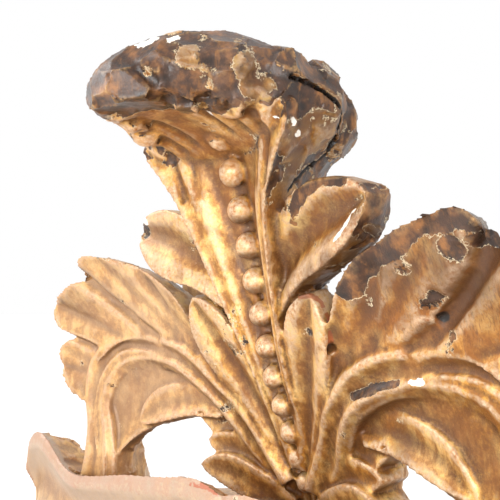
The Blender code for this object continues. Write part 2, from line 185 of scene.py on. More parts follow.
def blade(rows, cup=0.0, flutes=0, flute_depth=0.0, round_from=0.6, slim_tip=0.5, along=26, across=22,
          turning=False):
    """A leaf blade: a cupped front and a full rounded back, carried from root to tip.

    The front rises to the rims by cup times the half-width, or by the rows' sixth number where they have
    one, as the squared sine of the way from the midline, with cosine flutes over it. The back is half of a
    squared-off ellipse. Width and thickness close in a circle's arc past round_from. The section stays
    square to the line from root to tip, or to the line itself if it is turning."""
    rows = along_line(drawn(rows), along)
    line = rows[:, :3]
    ahead = unit_rows(np.gradient(line, axis=0))
    if turning:
        side = np.stack([ahead[:, 2], np.zeros(along), -ahead[:, 0]], 1)
    else:
        chord = line[-1] - line[0]
        side = np.tile([chord[2], 0, -chord[0]], (along, 1))
    side = unit_rows(side - (side * ahead).sum(1, keepdims=True) * ahead)
    face = np.cross(side, ahead)
    ease = np.clip((np.linspace(0, 1, along) - round_from) / (1 - round_from), 0, 1)
    closing = np.sqrt(np.maximum(1 - ease**2, 0.0004))[:, None]
    half = rows[:, 3, None] * closing
    thickness = rows[:, 4, None] * (slim_tip + (1 - slim_tip) * closing)
    s = np.linspace(-1, 1, across)
    rim = rows[:, 5, None] * closing if rows.shape[1] > 5 else cup * half
    fluting = flute_depth * UNIT * closing * (0.5 + 0.5 * np.cos(np.pi * flutes * s))
    front = rim * np.sin(0.5 * np.pi * s) ** 2 - fluting
    angle = np.linspace(0, np.pi, across)[1:-1]
    back_s = np.sign(np.cos(angle)) * np.abs(np.cos(angle)) ** 0.6
    back = rim - (thickness + rim) * np.sin(angle) ** 0.7
    across_all = half * np.concatenate([s, back_s])
    lift = np.concatenate([front, back], 1)
    rings = line[:, None, :] + side[:, None, :] * across_all[..., None] + face[:, None, :] * lift[..., None]
    return closed_grid(rings)


def sheet(pairs, thickness, sag, valleys=(), valley_depth=0.0, veins=(), vein_depth=0.0, along=60,
          across=14):
    """A leaf spread between a rib and a scalloped margin.

    The front is ruled between the paired points and hollowed back by sag times the sine of pi v, where v
    runs from the rib to the margin. Valleys and veins are gaussian dips along given pairs, deeper towards
    the margin. The back lies one thickness behind, drawn in towards the rib at the margin."""
    pairs = drawn(pairs)
    knots = np.arange(len(pairs), dtype=float)
    at = np.linspace(0, knots[-1], along)
    both = eased(pairs, knots, at)
    rib, margin = both[:, 0], both[:, 1]
    v = np.linspace(0, 1, across)
    thickness, sag = thickness * UNIT, sag * UNIT
    dip = np.zeros(along)
    for lines, depth, width in ((valleys, valley_depth, 0.34), (veins, vein_depth, 0.28)):
        for line in lines:
            dip += depth * UNIT * np.exp(-(((at - line) / width) ** 2))
    behind = sag * np.sin(np.pi * v)[None, :] + dip[:, None] * (np.sin(0.5 * np.pi * v) ** 0.8)[None, :]
    front = rib[:, None, :] * (1 - v)[None, :, None] + margin[:, None, :] * v[None, :, None]
    front[:, :, 1] += behind
    w = np.concatenate([[0.99, 0.96], np.linspace(0.90, 0.0, across - 2)])
    deep = thickness * np.concatenate([[0.25, 0.5], 1 - 0.3 * np.linspace(1, 0, across - 2) ** 3])
    back = rib[:, None, :] * (1 - w)[None, :, None] + margin[:, None, :] * w[None, :, None]
    back[:, :, 1] += sag * np.sin(np.pi * w)[None, :] + deep[None, :]
    return closed_grid(np.concatenate([front, back], 1)[:, ::-1])


def rolled_tip(along=48, size=40):
    """The plume's tip, rolled forward: sections across it, square-shouldered, from its back to its front.

    The underside is hollowed by a parabola."""
    rows = np.array(ROLL, float)
    table = np.zeros((len(rows), 5))
    table[:, [1, 2, 3, 4]] = rows[:, [0, 2, 1, 3]]
    low = table.copy()
    low[:, 2] = rows[:, 3]
    made, base = along_line(drawn(table), along), along_line(drawn(low), along)
    turn = np.linspace(0, 2 * np.pi, size, endpoint=False)
    across = np.sign(np.cos(turn)) * np.abs(np.cos(turn)) ** 0.88
    rise = np.sign(np.sin(turn)) * np.abs(np.sin(turn)) ** 0.88
    middle, tall = (made[:, 2] + base[:, 2]) / 2, (made[:, 2] - base[:, 2]) / 2
    under = np.where(rise < 0, 1 - ROLL_HOLLOW * (1 - across**2), 1)
    rings = np.stack(
        [
            made[:, 3, None] * across,
            np.repeat(made[:, 1, None], size, 1),
            middle[:, None] + tall[:, None] * rise * under,
        ],
        -1,
    )
    return closed_grid(rings[:, ::-1])


def ball(centre, radius, drop=1.0, rings=12, size=18):
    """A sphere by latitude and longitude, drop times as tall as it is wide."""
    turn = np.linspace(0, 2 * np.pi, size, endpoint=False)
    rise = np.linspace(-0.48 * np.pi, 0.48 * np.pi, rings)
    r, z = radius * np.cos(rise), drop * radius * np.sin(rise)
    tall = np.repeat(z[:, None], size, 1)
    shape = np.stack([r[:, None] * np.cos(turn), r[:, None] * np.sin(turn), tall], -1)
    return closed_grid(shape + np.array(centre))


def pearls():
    """Pearls up the midrib, each a little larger than the one below and spaced by its size."""
    rib = along_line(drawn(PLUME[1:-2]), 400)[:, :3]
    length = np.concatenate([[0], np.cumsum(np.linalg.norm(np.diff(rib, axis=0), axis=1))])
    radius = np.linspace(PEARL_FOOT, PEARL_HEAD, PEARL_COUNT)
    at = np.concatenate([[0], np.cumsum(radius[:-1] + radius[1:])])
    at = at / at[-1] * length[-1]
    centres = np.stack([np.interp(at, length, rib[:, k]) for k in range(3)], 1)
    centres[:, 1] -= 0.5 * radius
    return [ball(c, r) for c, r in zip(centres, radius)]


def rail(along=93, size=20):
    """The rail: a moulded section whose height and depth change across it, sloping down to the back."""
    rows = np.array(RAIL, float)
    knots = rows[:, 0] / rows[-1, 0] * HALF_SPAN
    x = np.linspace(-HALF_SPAN, HALF_SPAN, along)
    made = eased(rows[:, 1:], knots, np.abs(x))
    top = made[:, 0] / DRAWN_CROWN * RAIL_CROWN
    block = np.abs(x) < RAIL_BLOCK / rows[-1, 0] * HALF_SPAN
    back = np.where(block, BACK_PLANE + OVERCUT, made[:, 1] / DRAWN_BACK * BACK_PLANE)
    v = np.linspace(0, 1, size)
    swell = np.zeros(size)
    for start, length, depth in RAIL_SWELLS:
        swell += depth * UNIT * np.sin(np.pi * np.clip((v - start) / length, 0, 1))
    rise = -OVERCUT + v[None, :] * (top[:, None] + OVERCUT)
    ahead = np.repeat(-RAIL_FRONT - swell[None, :], along, 0)
    front = np.stack([np.repeat(x[:, None], size, 1), ahead, rise], -1)
    u = np.linspace(0, 1, size)[1:]
    deep = back[:, None] + RAIL_FRONT
    y = -RAIL_FRONT + u * deep
    slope = np.sin(0.5 * np.pi * np.clip(u * deep / RAIL_FRONT, 0, 1))
    fall = RAIL_FALL * UNIT * np.minimum(deep / RAIL_FRONT, 1) * slope
    over = np.stack([np.repeat(x[:, None], len(u), 1), y, top[:, None] - fall], -1)
    low = np.stack([x, back, np.full(along, -OVERCUT)], -1)[:, None, :]
    return closed_grid(np.concatenate([front, over, low], 1))


def mirrored(form):
    """The same form on the left side, with its faces turned to point outwards again."""
    points, faces = form
    return points * np.array([-1, 1, 1]), [face[::-1] for face in faces]


def side_forms():
    """Every form of the right side."""
    forms = [
        blade(SIDE_LOBE, 0.4, flutes=2, flute_depth=LEAF_FLUTE, round_from=0.5, along=36),
        blade(UPRIGHT_LOBE, 0.2, flutes=2, flute_depth=LEAF_FLUTE, round_from=0.55, along=36),
        blade(PIT_WALL),
        blade(STEM, round_from=0.97, along=70, turning=True),
        blade(OUTER_RIDGE, -0.6, round_from=0.97, along=70, turning=True),
        blade(INNER_RIDGE, -0.6, round_from=0.97, along=70, turning=True),
        blade(FOOT, -0.15, round_from=0.95),
        sheet(FAN, FAN_THICK, FAN_SAG, FAN_VALLEYS, VALLEY_DEPTH, FAN_VEINS, VEIN_DEPTH, along=90),
        sheet(SCROLL_FACE, FACE_THICK, FACE_SAG),
    ]
    for across, forward, up, radius in KNUCKLES:
        forms.append(ball(drawn([across, forward, up]), radius * UNIT, KNUCKLE_DROP))
    return forms + [blade(rows, 0.25) for rows in BELOW_LOBES.values()]


def middle_forms():
    """The plume, the core behind it, its rolled tip, the pearls and the rail."""
    plume = blade(PLUME, flutes=5, flute_depth=LEAF_FLUTE, round_from=0.92, slim_tip=0.8, along=50,
                  across=40)
    return [plume, blade(CORE), rolled_tip(), rail()] + pearls()


def joined_mesh(forms, name):
    """All forms as one mesh of overlapping closed shells."""
    points, faces, base = [], [], 0
    for form_points, form_faces in forms:
        points.append(form_points)
        faces += [[base + corner for corner in face] for face in form_faces]
        base += len(form_points)
    mesh = bpy.data.meshes.new(name)
    mesh.from_pydata(np.concatenate(points).tolist(), [], faces)
    mesh.update()
    return mesh


# How fine the surface is, in metres.
WEB = 0.0014              # voxel of the fused form
MOST_TRIANGLES = 190000
CREASE = np.radians(48)   # edges sharper than this stay sharp

# The carver's marks, in metres.
GOUGE = 0.015             # width of a gouge cut on the rolled tip and the outsides
GOUGE_DEPTH = 0.0010
GOUGE_STRETCH = (1.0, 0.7, 1.0)          # the cuts are longer from front to back
PLANED = 0.8              # how far each cut is planed towards its own plane
PLANED_MOST = 0.0020
ROUGH_BACKS = (-0.2, 0.4)                # surfaces that turn backwards are cut roughly
SAME_FACING = (0.55, 0.85)               # a cut only planes what faces nearly its own way
GOUGE_RIM, RIPPLE_RIM = 0.7, 0.6         # how far a cut's hollow reaches from the ridge round it
RIPPLE = 0.0075           # width of the finer cuts on the gilded fronts
RIPPLE_DEPTH = 0.00018
RIPPLE_STRETCH = (1, 1, 0.6)             # and these are longer up and down
UNEVEN = 0.009            # size of the slow unevenness of the hand-cut surface
UNEVEN_DEPTH = 0.0005
SMOOTHING = (0.5, -0.52, 0.5, -0.52)     # passes that smooth the fused form without shrinking it
HELD_RIM = 0.002          # how near a planed face the surface keeps its place
GESSO_THICK = 0.0005      # gesso and gilding, which stand this far above bare wood
CRACK_WIDTH = 0.0008
CRACK_DEPTH = 0.0030
CRACK_SHADE = 1.5         # how much wider its dirt is
FLAKE = 0.016             # size of the patches in which the finish comes off
FLAKE_CONTRAST = 1.5
FLAKE_EDGE = 0.03         # how soft the step down to bare wood is

# Creases between the lobes of the rolled tip, and the valleys that end in a drilled eye on each fan,
# in drawing units: each a line, its width and its depth. The fans' lines are cut on both sides.
TIP_CREASES = [([(20, -140, 322), (29, -134, 310), (32, -129, 306), (28, -119, 299)], 4.5, 4.5),
               ([(37, -125, 316), (37, -122, 305), (38, -113, 300), (39, -103, 299), (50, -98, 301)],
                4.0, 3.6),
               ([(53, -97, 302), (49, -93, 295), (42, -88, 293)], 4.0, 5.0),
               ([(53, -97, 301), (58, -90, 308), (64, -81, 314), (71, -73, 313), (74, -64, 310),
                 (70, -56, 297)], 4.5, 4.5),
               ([(-7, -146, 315), (-2, -146, 306), (9, -143, 299), (5, -129, 300)], 1.3, 1.0),
               ([(-2, -145, 318), (1, -146, 308), (14, -143, 299), (16, -129, 298)], 1.3, 1.2),
               ([(4, -143, 320), (12, -146, 309), (17, -140, 302), (25, -127, 299)], 1.3, 1.2),
               ([(20, -143, 312), (26, -138, 303), (30, -130, 300)], 1.2, 1.0)]
FLUTES_UNDER_TIP = [([(10 * k, -116, 298), (10 * k, -90, 301), (9.5 * k, -70, 293), (9 * k, -62, 280),
                      (8 * k, -61, 262)], 3.4, 2.6) for k in (-5.0, -3.4, -1.9, 1.9, 3.4, 5.0)]
FAN_VALLEYS_CUT = [
    ([(side * across, forward, up) for across, forward, up in line], width, depth) for side in (1, -1)
    for line, width, depth in (
        ([(182, -66, 216), (167, -49, 209), (156, -42, 199), (146, -38, 191), (139, -36, 185)], 5.0, 6.0),
        ([(139, -36, 185), (130, -36, 177), (116, -33, 168)], 4.0, 2.5),
        ([(150, -66, 224), (136, -56, 208), (116, -46, 190), (94, -34, 172)], 5.0, 2.0),
        ([(104, -48, 207), (90, -38, 186), (72, -28, 162)], 5.0, 1.6))]
EYES = [(side * across, forward, up, radius) for side in (1, -1) for across, forward, up, radius in
        ((139, -36, 185, 3.5), (84, -17, 113, 3), (62, -31, 167, 2.5))]
EYE_DEPTH = 7

# The wall that closes the pit behind the side lobe and the fan, in drawing units.
PIT_BACK = [(80, 8, 176, 18, 22), (102, 8, 192, 20, 22), (124, 6, 204, 18, 22), (138, 4, 211, 12, 20)]

# Damage, in drawing units. The open joint crosses the rolled tip, and its line runs a little off the wood.
JOINT_FLATTENED = 0.9     # how much of a distance off the surface isn't counted
JOINT_REACH = 12          # how far the joint is looked for
JOINT_LINE = [(70, -68, 313), (71, -53, 311), (70, -44, 310), (72, -36, 306), (71, -29, 301),
              (65, -25, 294), (57, -20, 289), (50, -20, 283), (46, -24, 277), (47, -34, 271),
              (44, -40, 264), (42, -44, 258)]
# Spots as (across, forward-back, up, radius): gold that is left on the tip, and wood laid bare elsewhere.
GOLD_LEFT = [(43, -114, 321, 9), (47, -108, 315, 9), (48, -103, 307, 8), (60, -86, 315, 12),
             (26, -133, 313, 7), (29, -131, 305, 6), (66, -48, 296, 10), (60, -38, 285, 10),
             (35, -80, 294, 9), (34, -102, 297, 7), (30, -114, 298, 7), (20, -110, 339, 7),
             (36, -100, 332, 7)]
BARE_SPOTS = [(112, -26, 240, 15), (110, -20, 226, 14), (174, -56, 222, 10), (48, -53, 247, 6),
              (160, -60, 213, 8), (141, -43, 193, 8), (134, -43, 190, 6), (86, -18, 146, 5),
              (98, -22, 149, 5), (-104, -52, 246, 8), (-60, -30, 196, 10)]
# Spots of grime, some of them painted shade on walls that face down into shadow.
GRIME_AND_SHADE_SPOTS = [(120, -50, 210, 22), (160, -55, 205, 24), (96, -40, 195, 14), (66, -20, 196, 18),
               (40, -30, 205, 12), (84, -40, 222, 12), (104, -44, 232, 14), (82, -52, 213, 8),
               (66, -46, 206, 9), (52, -40, 198, 7), (68, -32, 178, 6), (74, -34, 188, 6),
               (60, -40, 207, 7), (47, -15, 206, 12), (152, -42, 196, 9), (60, -22, 172, 8),
               (100, -20, 120, 10), (-66, -30, 196, 12)]
BARE_RIMS = [([(51, -49, 239), (57, -53, 247), (66, -54, 254), (79, -56, 257), (94, -56, 256)], 5),
             ([(71, -24, 141), (86, -27, 146), (106, -28, 151)], 3),
             ([(84, -43, 199), (98, -46, 210), (125, -55, 222), (143, -61, 226), (158, -67, 228)], 8),
             ([(158, -67, 228), (171, -69, 230), (179, -66, 224), (184, -64, 217)], 9)]
GESSO_SPOTS = [(17, -126, 335, 8), (31, -118, 335, 5), (70, -64, 289, 4), (63, -55, 285, 3),
               (22, -88, 298, 4), (116, -31, 153, 3.5), (121, -31, 153, 3), (140, -30, 128, 3),
               (-97, -57, 252, 4), (36, -64, 262, 2.5), (92, -48, 199, 2.5), (176, -60, 200, 3)]
GESSO_RIMS = [([(99, -51, 238), (95, -54, 231), (88, -55, 225)], 2.0),
              ([(62, -72, 291), (50, -80, 290), (40, -90, 292)], 2.5)]
CLAY_RIMS = [([(49, -42, 196), (58, -42, 197), (61, -39, 194), (64, -35, 184), (64, -33, 170)], 2.0),
             ([(-4, -61, 80), (-16, -61, 82), (-30, -61, 81)], 2)]

# Where the wear is, in metres from the origin or as a part of a normal: where each begins and is full.
SPOT_FADE = (0.4, 1.5)            # a spot's fading, as a part of its radius
TIP_HEIGHTS = (0.286, 0.296)      # the rolled tip's bare wood
TIP_FALL_START, TIP_FALL_LENGTH, TIP_FALL = -0.075, 0.11, 0.030   # it begins lower towards the back
TIP_DOWNWARD = (0.75, 0.35)
LIP_MIDDLE, LIP_RANGE, LIP_BLEND = 0.108, (-0.125, -0.088), 0.004     # the front of its underside
BACKS_ABOVE = (0.110, 0.125)      # backs and outer sides of the leaves
TURNED_OUT = (0.60, 0.85)
OFF_PEARLS = (0.03, 0.05)
LOBES_ABOVE = (0.205, 0.225)
UNDERSIDE_SHADE = (0.35, 0.80)         # painted shade under the leaves, below the tip
UNDER_TIP = (0.275, 0.255)
WARM_ACROSS, WARM_ABOVE = (0.05, 0.11), (0.150, 0.185)                # the right leaf's browner glaze, partly painted shade on the side turned from the lamps
DUSTY_ACROSS = (-0.04, -0.12)     # the left leaf's dust
CHEEK_FACING, CHEEK_ABOVE, CHEEK_ACROSS = (0.2, 0.5), (0.235, 0.26), (0.028, 0.04)    # painted shade on the plume's right side, turned from the lamps
BAND_BELOW, BAND_FORWARD = (0.092, 0.082), (-0.050, -0.056)           # the rail's dusty pink front
TIP_LOSS, OUTSIDE_LOSS, SPOT_LOSS, RIM_LOSS, LEAST_LOSS = 0.78, 0.66, 0.80, 0.90, 0.08
GOLD_SPARED = 0.40                # how much less is lost at the spots of gold left on the tip
BROAD_PASSES, FINE_PASSES = 60, 4         # smoothing against which relief and edges are measured
RELIEF_SPAN, EDGE_SPAN = 0.012, 0.0016    # the heights that fill their marks

# The finish. The marks are kept on the mesh, and the patterns are noise with its real size in millimetres,
# its detail, its roughness and its stretch; specks and grain are drawn about twice as coarse, to show.
MILLIMETRE = 0.001
MARKS = ("relief", "edge", "lost", "gesso", "clay", "grime_and_shade", "joint_and_eye_shade", "band", "warm_glaze_and_shade", "dusty")
PATTERNS = {
    "cloud": (62.5, 3, 0.5, (1, 1, 1)),               # drifts of dust, as long as a leaf's lobe
    "mottle": (14.286, 6, 0.62, (1, 1, 1)),           # patches of thinner gold, a gouge cut wide
    "grain": (2.381, 6, 0.68, (1, 1, 1)),             # the wood's pores and the gesso's brush marks
    "speck": (1.1111, 5, 0.65, (1, 1, 1)),            # pits and specks of dirt
    "streak": (6.25, 5, 0.65, (1.0, 1.0, 0.22)),      # dirt that has run down
    "brush": (3.3333, 4, 0.6, (3.0, 0.35, 1.0)),      # strokes of varnish from front to back
}
# How much of each layer shows, worked out step by step: the step, the amount's name and its terms. A RANGE
# carries a value from one range to another, 0 to 1 if no other is given. A PART is its first term times
# the RANGE of the others, and the other steps are plain sums.
AMOUNTS = [
    ("RANGE", "specked", "speck", 0.50, 0.68, 0.0, 0.45),
    ("RANGE", "flecked", "grain", 0.54, 0.68, 0.0, 0.45),
    ("RANGE", "drifted", "cloud", 0.42, 0.66, 0.0, 0.45),
    ("RANGE", "streaked", "streak", 0.48, 0.62, 0.0, 0.72),
    # The right leaf's glaze and smear: a browner glaze, partly painted shade on the side turned from the
    # lamps.
    ("PART", "glaze_and_shade", "warm_glaze_and_shade", "mottle", 0.35, 0.60, 0.75, 0.40),
    ("PART", "smear_and_shade", "warm_glaze_and_shade", "brush", 0.50, 0.62, 0.0, 0.55),
    ("RANGE", "patch", "mottle", 0.52, 0.44),
    ("PART", "stain", "patch", "grain", 0.36, 0.60, 0.15, 0.80),
    ("RANGE", "sunk", "relief", 0.54, 0.32),
    ("PART", "hollow", "sunk", "grain", 0.25, 0.62, 0.35, 1.0),
    # Patina in the hollows, partly painted shade where the surface sinks.
    ("RANGE", "hollow_patina_and_shade", "hollow", 0.1, 0.9, 0.0, 0.72),
    ("RANGE", "creased", "edge", 0.48, 0.24),
    ("PART", "deep", "creased", "speck", 0.3, 0.6, 0.5, 1.0),
    # Dirt and painted shade in the creases.
    ("MULTIPLY", "crease_dirt_and_shade", "deep", 0.8),
    ("RANGE", "proud", "edge", 0.54, 0.74),
    # Burnished rims, partly a painted highlight.
    ("PART", "burnish_and_highlight", "proud", "grain", 0.35, 0.60, 0.0, 0.7),
    ("PART", "dust", "dusty", "mottle", 0.3, 0.65, 0.30, 0.48),
    ("PART", "rail", "band", "grain", 0.3, 0.7, 0.70, 0.95),
    ("MULTIPLY_ADD", "sharp", "edge", 1.2, "grain"),
    ("RANGE", "rubbed", "sharp", 1.30, 1.38, 0.0, 0.5),
    ("MULTIPLY", "rubbed_clay", "rubbed", "mottle"),
    ("ADD", "clay_sum", "clay", "grain"),
    ("RANGE", "clay_rim", "clay_sum", 1.02, 1.12, 0.0, 0.8),
    ("MAXIMUM", "red_clay", "rubbed_clay", "clay_rim"),
    # Grime, with painted shade under the leaves, on walls in shadow and on the plume's right side.
    ("PART", "grime_and_shade_layer", "grime_and_shade", "mottle", 0.3, 0.6, 0.55, 0.92),
    ("RANGE", "greyed", "cloud", 0.45, 0.70, 0.0, 0.16),
    ("RANGE", "varnish", "brush", 0.52, 0.72, 0.0, 0.35),
    ("RANGE", "amber", "streak", 0.56, 0.72, 0.0, 0.70),
    ("RANGE", "cut_edge", "edge", 0.66, 0.95),
    # A painted highlight on the wood's ridges between cuts.
    ("PART", "painted_ridge_highlight", "cut_edge", "grain", 0.4, 0.6, 0.1, 0.7),
    # Dirt and painted shade in the wood's creases.
    ("MULTIPLY", "wood_crease_dirt_and_shade", "deep", 0.7),
    # Where the finish is off: the mark on the mesh, made ragged by the finer patterns.
    ("MULTIPLY_ADD", "grained", "grain", 0.60, "lost"),
    ("MULTIPLY_ADD", "mottled", "mottle", 0.60, "grained"),
    ("MULTIPLY_ADD", "speckled", "speck", 0.12, "mottled"),
    ("SUBTRACT", "ragged", "speckled", 0.66),
    ("RANGE", "stripped", "ragged", 0.490, 0.510),
    ("SUBTRACT", "from_border", "ragged", 0.485),
    ("ABSOLUTE", "border_gap", "from_border"),
    ("RANGE", "border", "border_gap", 0.032, 0.012),
    ("PART", "gesso_edge", "border", "streak", 0.42, 0.54, 0.0, 0.9),
    ("MULTIPLY_ADD", "chip_sum", "grain", 0.9, "gesso"),
    ("RANGE", "chip", "chip_sum", 0.98, 1.03),
    # The open joint, and painted shade in the drilled eyes.
    ("MULTIPLY_ADD", "crack_sum", "grain", 0.3, "joint_and_eye_shade"),
    ("RANGE", "crack_and_eye_shade", "crack_sum", 0.55, 0.75),
    # Where no leaf shines, and how glossy the leaf and the wood are.
    ("MULTIPLY", "dull_grime_and_shade", "grime_and_shade_layer", 0.8),
    ("MULTIPLY", "dull_dust", "dusty", 0.45),
    ("MAXIMUM", "dull", "dull_grime_and_shade", "dull_dust"),
    ("MAXIMUM", "holes", "stripped", "chip"),
    ("MAXIMUM", "dark", "crack_and_eye_shade", "rail"),
    ("MAXIMUM", "damage", "holes", "dark"),
    ("MAXIMUM", "bare", "damage", "dull"),
    ("RANGE", "clean_leaf", "hollow", 0.2, 0.9, 0.40, 0.12),
    ("PART", "metal", "clean_leaf", "bare", 0.0, 1.0, 1.0, 0.0),
    ("RANGE", "leaf_gloss", "grain", 0.3, 0.7, 0.34, 0.52),
    ("RANGE", "wood_gloss", "mottle", 0.3, 0.7, 0.24, 0.46),
    # Small relief in millimetres: the step down to bare wood, chips, grain, runs, pits and strokes.
    ("MULTIPLY", "chip_step", "chip", -0.25),
    ("MULTIPLY_ADD", "steps", "stripped", -0.45, "chip_step"),
    ("MULTIPLY_ADD", "grain_relief", "grain", 0.22, "steps"),
    ("MULTIPLY_ADD", "streak_relief", "streak", 0.30, "grain_relief"),
    ("MULTIPLY_ADD", "speck_relief", "speck", 0.16, "streak_relief"),
    ("MULTIPLY", "wood_strokes", "brush", "stripped"),
    ("MULTIPLY_ADD", "height", "wood_strokes", 0.12, "speck_relief"),
]
# Leaf gold is darker and redder where it is thin. Over it lie specks, flecks, drifts of dust, runs of dirt,
# the right leaf's brown glaze and smear, partly painted shade, stains, patina and painted shade in the
# hollows, dirt and painted shade in the creases, burnished rims with a painted highlight, dust, the rail's
# dusty pink, red clay, and grime with painted shade under the leaves, on walls in shadow and on the plume's
# right side.
GOLD_STOPS = [(0.32, "#A06628"), (0.68, "#EEC67C"), (0.50, "#D19644")]
GOLD_LAYERS = [("specked", "#8A5A2E"), ("flecked", "#F6DDA8"), ("drifted", "#E2BC82"),
               ("streaked", "#8F5C30"), ("glaze_and_shade", "#A0602A"), ("smear_and_shade", "#5C3A2C"), ("stain", "#87521F"),
               ("hollow_patina_and_shade", "#7C491A"), ("crease_dirt_and_shade", "#4A2E1A"), ("burnish_and_highlight", "#F8E6C2"), ("dust", "#C9A27C"),
               ("rail", "#B19B86"), ("red_clay", "#A8502C"), ("grime_and_shade_layer", "#4E3019")]
# Bare wood and old ground are under a dark, greasy varnish, paler on the ridges between cuts as a painted
# highlight, and darker in the creases as dirt and painted shade.
WOOD_STOPS = [(0.36, "#1D1008"), (0.68, "#8A5A2E"), (0.52, "#472B18")]
WOOD_LAYERS = [("greyed", "#85736A"), ("varnish", "#24160E"), ("amber", "#A06A34"), ("painted_ridge_highlight", "#B58C5A"),
               ("wood_crease_dirt_and_shade", "#150C07")]
# Cream gesso edges the gold, white gesso shows at fresh chips, the open joint is dark, and the drilled eyes
# are darkened with painted shade.
DAMAGE_LAYERS = [("gesso_edge", "#E9D6B2"), ("chip", "#EFE6DA"), ("crack_and_eye_shade", "#1A120D")]
GESSO_ROUGHNESS = 0.85
BUMP_STRENGTH = 0.9

# The studio, in metres and watts: each lamp's name, kind, place, size or angle, and power.
FLOOR = 40.0              # from the middle to the floor's edge
SKY_LIGHT, SKY_SEEN = 1.02, 1.0
LAMPS = [("sun", "SUN", (-0.75, -0.85, 1.0), np.radians(24), 0.85),
         ("window", "AREA", (-1.1, -0.5, 0.9), 0.8, 4),
         ("far_window", "AREA", (0.7, -1.3, 0.15), 0.8, 24)]
LAMP_AIM = (0, -0.04, 0.2)
CAMERA_PLACE = (0.327, -0.31225, 0.18725)
CAMERA_TURN, CAMERA_PITCH = 50, 5.22      # degrees to the left, and up
CAMERA_LENS = 48.96


def hashed(x, y, z, seed):
    """A repeatable number from 0 to 1 for each lattice point, by integer multiplies and shifts."""
    h = (x * 374761393 + y * 668265263 + z * 974634777 + seed * 1442695041) & 0xFFFFFFFF
    h = ((h ^ (h >> 13)) * 1274126177) & 0xFFFFFFFF
    return ((h ^ (h >> 16)) & 0xFFFFFF) / 0xFFFFFF


def lattice_noise(points, size, seed=0):
    """Value noise from 0 to 1: hashed numbers on a cubic lattice of a size, blended by 3 f^2 - 2 f^3."""
    p = points / size + 1000.0
    cell = np.floor(p).astype(np.int64)
    f = p - cell
    f = f * f * (3 - 2 * f)
    total = np.zeros(len(points))
    for dx in (0, 1):
        for dy in (0, 1):
            for dz in (0, 1):
                weight = np.abs(1 - dx - f[:, 0]) * np.abs(1 - dy - f[:, 1]) * np.abs(1 - dz - f[:, 2])
                total += weight * hashed(cell[:, 0] + dx, cell[:, 1] + dy, cell[:, 2] + dz, seed)
    return total


def layered_noise(points, size, seed=0, layers=3):
    """Lattice noise added at halved sizes and halved strengths, kept from 0 to 1."""
    total, share, most = 0, 1.0, 0.0
    for k in range(layers):
        total = total + share * lattice_noise(points, size / 2**k, seed + k)
        most += share
        share /= 2
    return total / most


def cells(points, size, seed=0):
    """Each point's cell, and how much farther the next cell's middle is than its own, over the size.

    The middles are the jittered points of a cubic lattice, and the 27 round a point are searched."""
    cell = np.floor(points / size).astype(np.int64)
    best = np.full(len(points), np.inf)
    second = best.copy()
    owner = np.zeros(len(points), np.int64)
    for dx in (-1, 0, 1):
        for dy in (-1, 0, 1):
            for dz in (-1, 0, 1):
                c = cell + (dx, dy, dz)
                jitter = np.stack([hashed(c[:, 0], c[:, 1], c[:, 2], seed + k) for k in range(3)], 1)
                away = np.linalg.norm((c + jitter) * size - points, axis=1)
                nearer = away < best
                second = np.where(nearer, best, np.minimum(second, away))
                best = np.where(nearer, away, best)
                key = (c[:, 0] + 512) * 1048576 + (c[:, 1] + 512) * 1024 + (c[:, 2] + 512)
                owner = np.where(nearer, key, owner)
    return np.unique(owner, return_inverse=True)[1].reshape(-1), (second - best) / size


def smooth_step(low, high, values):
    """0 below low and 1 above high, with 3 f^2 - 2 f^3 between; the other way about if high is lower."""
    f = np.clip((values - low) / (high - low), 0, 1)
    return f * f * (3 - 2 * f)


def neighbour_mean(values, edges, count):
    """The mean of each point's neighbours along the edges."""
    a, b = edges[:, 0], edges[:, 1]
    degree = np.maximum(np.bincount(a, minlength=count) + np.bincount(b, minlength=count), 1)
    if values.ndim == 1:
        return (np.bincount(a, values[b], count) + np.bincount(b, values[a], count)) / degree
    return np.stack([neighbour_mean(values[:, k], edges, count) for k in range(values.shape[1])], 1)


def away_from_line(points, line, normals=None, reach=0.0):
    """The distance from each point to a polyline.

    With normals, little of what lies along a point's normal is counted, and nothing beyond reach is."""
    best = np.full(len(points), np.inf)
    for a, b in zip(line[:-1], line[1:]):
        run = b - a
        t = np.clip(((points - a) @ run) / (run @ run), 0, 1)
        gap = points - a - t[:, None] * run
        away = np.linalg.norm(gap, axis=1)
        if normals is not None:
            along = gap - JOINT_FLATTENED * (gap * normals).sum(1)[:, None] * normals
            away = np.where(away > reach, np.inf, np.linalg.norm(along, axis=1))
        best = np.minimum(best, away)
    return best


def joint_nearness(points, normals, width):
    """A gaussian across the open joint, by the distance along the surface."""
    away = away_from_line(points, drawn(JOINT_LINE), normals, JOINT_REACH * UNIT)
    return np.exp(-((away / width) ** 2))


def near_spots(points, spots):
    """1 at the middle of a spot, falling by a smooth step to 0 at one and a half of its radius."""
    total = np.zeros(len(points))
    for spot in drawn(np.array(spots, float)):
        away = np.linalg.norm(points - spot[:3], axis=1) / spot[3]
        total = np.maximum(total, 1 - smooth_step(*SPOT_FADE, away))
    return total


def near_rims(points, rims):
    """1 on a rim, falling by a smooth step to 0 at one and a half of its width."""
    total = np.zeros(len(points))
    for rim, width in rims:
        away = away_from_line(points, drawn(rim)) / (width * UNIT)
        total = np.maximum(total, 1 - smooth_step(*SPOT_FADE, away))
    return total


def read_mesh(mesh):
    """A mesh's points, vertex normals and edges as arrays."""
    points = np.empty(len(mesh.vertices) * 3, np.float32)
    normals = np.empty(len(mesh.vertices) * 3, np.float32)
    edges = np.empty(len(mesh.edges) * 2, np.int32)
    mesh.vertices.foreach_get("co", points)
    mesh.vertex_normals.foreach_get("vector", normals)
    mesh.edges.foreach_get("vertices", edges)
    return points.reshape(-1, 3).astype(float), normals.reshape(-1, 3).astype(float), edges.reshape(-1, 2)


